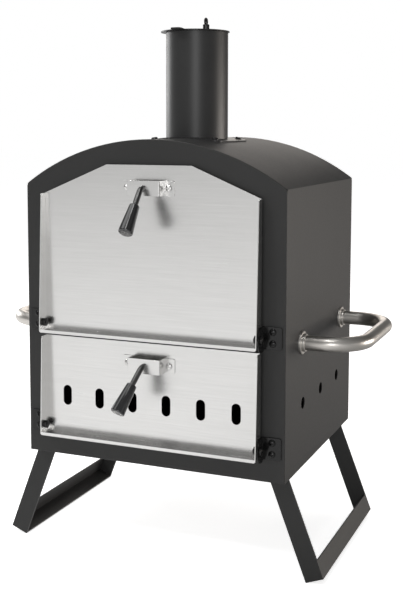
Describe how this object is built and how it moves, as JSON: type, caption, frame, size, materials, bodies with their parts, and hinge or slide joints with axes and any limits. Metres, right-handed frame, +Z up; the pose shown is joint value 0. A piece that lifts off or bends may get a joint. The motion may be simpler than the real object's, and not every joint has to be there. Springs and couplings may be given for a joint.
{
  "type": "charcoal pizza oven",
  "caption": "Arched sheet-steel charcoal pizza oven with drop-down stainless doors, turning latches, flue with swinging lid, tube handles and folding legs.",
  "frame": {"origin": "on the floor, under the middle of the whole oven box", "axes": "+X to the right seen from the front, +Y to the back, +Z up"},
  "size_m": [0.585, 0.4304, 0.7968],
  "materials": {
    "charcoal_paint": "matte charcoal powder coat",
    "flue_paint": "satin black enamel",
    "black_fittings": "glossy black",
    "door_steel": "fine horizontal brush",
    "handle_steel": "satin brushed tube",
    "rod_steel": "dark polished",
    "grip_plastic": "glossy black",
    "baking_stone": "rough fired stone",
    "rack_chrome": "bright wire",
    "tray_enamel": "black enamel"
  },
  "bodies": {
    "oven_body": {"ash_pan": "tray_enamel", "back_panel": "charcoal_paint", "base_panel": "charcoal_paint", "charcoal_tray": "tray_enamel", "damper_bolt": "black_fittings", "damper_eye_nut": "black_fittings", "damper_lug": "flue_paint", "damper_spacer": "black_fittings", "flue_bolts": "black_fittings", "flue_nuts": "black_fittings", "flue_plate": "flue_paint", "flue_tube": "flue_paint", "front_frame": "charcoal_paint", "handle_bolts_left": "handle_steel", "handle_bolts_right": "handle_steel", "handle_roses_left": "handle_steel", "handle_roses_right": "handle_steel", "hinge_bracket_screws": "black_fittings", "leg_bolts_left": "black_fittings", "leg_bolts_right": "black_fittings", "leg_brackets_left": "charcoal_paint", "leg_brackets_right": "charcoal_paint", "leg_nuts_left": "black_fittings", "leg_nuts_right": "black_fittings", "lower_hinge_bracket_left": "black_fittings", "lower_hinge_bracket_right": "black_fittings", "pizza_stone": "baking_stone", "roof_panel": "charcoal_paint", "side_handle_left": "handle_steel", "side_handle_right": "handle_steel", "side_panel_left": "charcoal_paint", "side_panel_right": "charcoal_paint", "stone_rack": "rack_chrome", "stone_rail_left": "charcoal_paint", "stone_rail_right": "charcoal_paint", "tray_rail_left": "charcoal_paint", "tray_rail_right": "charcoal_paint", "upper_hinge_bracket_left": "black_fittings", "upper_hinge_bracket_right": "black_fittings"},
    "upper_door_leaf": {"upper_door": "door_steel", "upper_hinge_bolts": "black_fittings", "upper_hinge_nuts": "black_fittings", "upper_latch_bracket": "door_steel", "upper_latch_screws": "door_steel"},
    "upper_latch_set": {"upper_latch_rod": "rod_steel", "upper_latch_grip": "grip_plastic", "upper_latch_finger": "rod_steel", "upper_latch_nut": "rod_steel"},
    "lower_door_leaf": {"lower_door": "door_steel", "lower_hinge_bolts": "black_fittings", "lower_hinge_nuts": "black_fittings", "lower_latch_bracket": "door_steel", "lower_latch_screws": "door_steel"},
    "lower_latch_set": {"lower_latch_rod": "rod_steel", "lower_latch_grip": "grip_plastic", "lower_latch_finger": "rod_steel", "lower_latch_nut": "rod_steel"},
    "damper_lid_swing": {"damper_lid": "flue_paint"},
    "left_leg": {"leg_left": "charcoal_paint"},
    "right_leg": {"leg_right": "charcoal_paint"}
  },
  "joints": [
    {"name": "upper_door_hinge", "type": "hinge", "parent": "oven_body", "child": "upper_door_leaf", "pos_m": [0, -0.14783, 0.34345], "axis": [1, 0, 0], "range_deg": [0, 90]},
    {"name": "upper_latch_turn", "type": "hinge", "parent": "upper_door_leaf", "child": "upper_latch_set", "pos_m": [0, -0.15683, 0.54314], "axis": [0, 1, 0], "range_deg": [-92, 88]},
    {"name": "lower_door_hinge", "type": "hinge", "parent": "oven_body", "child": "lower_door_leaf", "pos_m": [0, -0.14783, 0.19084], "axis": [1, 0, 0], "range_deg": [0, 90]},
    {"name": "lower_latch_turn", "type": "hinge", "parent": "lower_door_leaf", "child": "lower_latch_set", "pos_m": [0, -0.15683, 0.29395], "axis": [0, 1, 0], "range_deg": [-106, 74]},
    {"name": "damper_swivel", "type": "hinge", "parent": "oven_body", "child": "damper_lid_swing", "pos_m": [0, 0.07317, 0.77045], "axis": [0, 0, 1], "range_deg": [-120, 120]},
    {"name": "right_leg_fold", "type": "hinge", "parent": "oven_body", "child": "right_leg", "pos_m": [0.17834, -0.10983, 0.15795], "axis": [0, 1, 0], "range_deg": [0, 111]},
    {"name": "left_leg_fold", "type": "hinge", "parent": "oven_body", "child": "left_leg", "pos_m": [-0.17834, -0.10983, 0.15795], "axis": [0, -1, 0], "range_deg": [0, 111]}
  ]
}
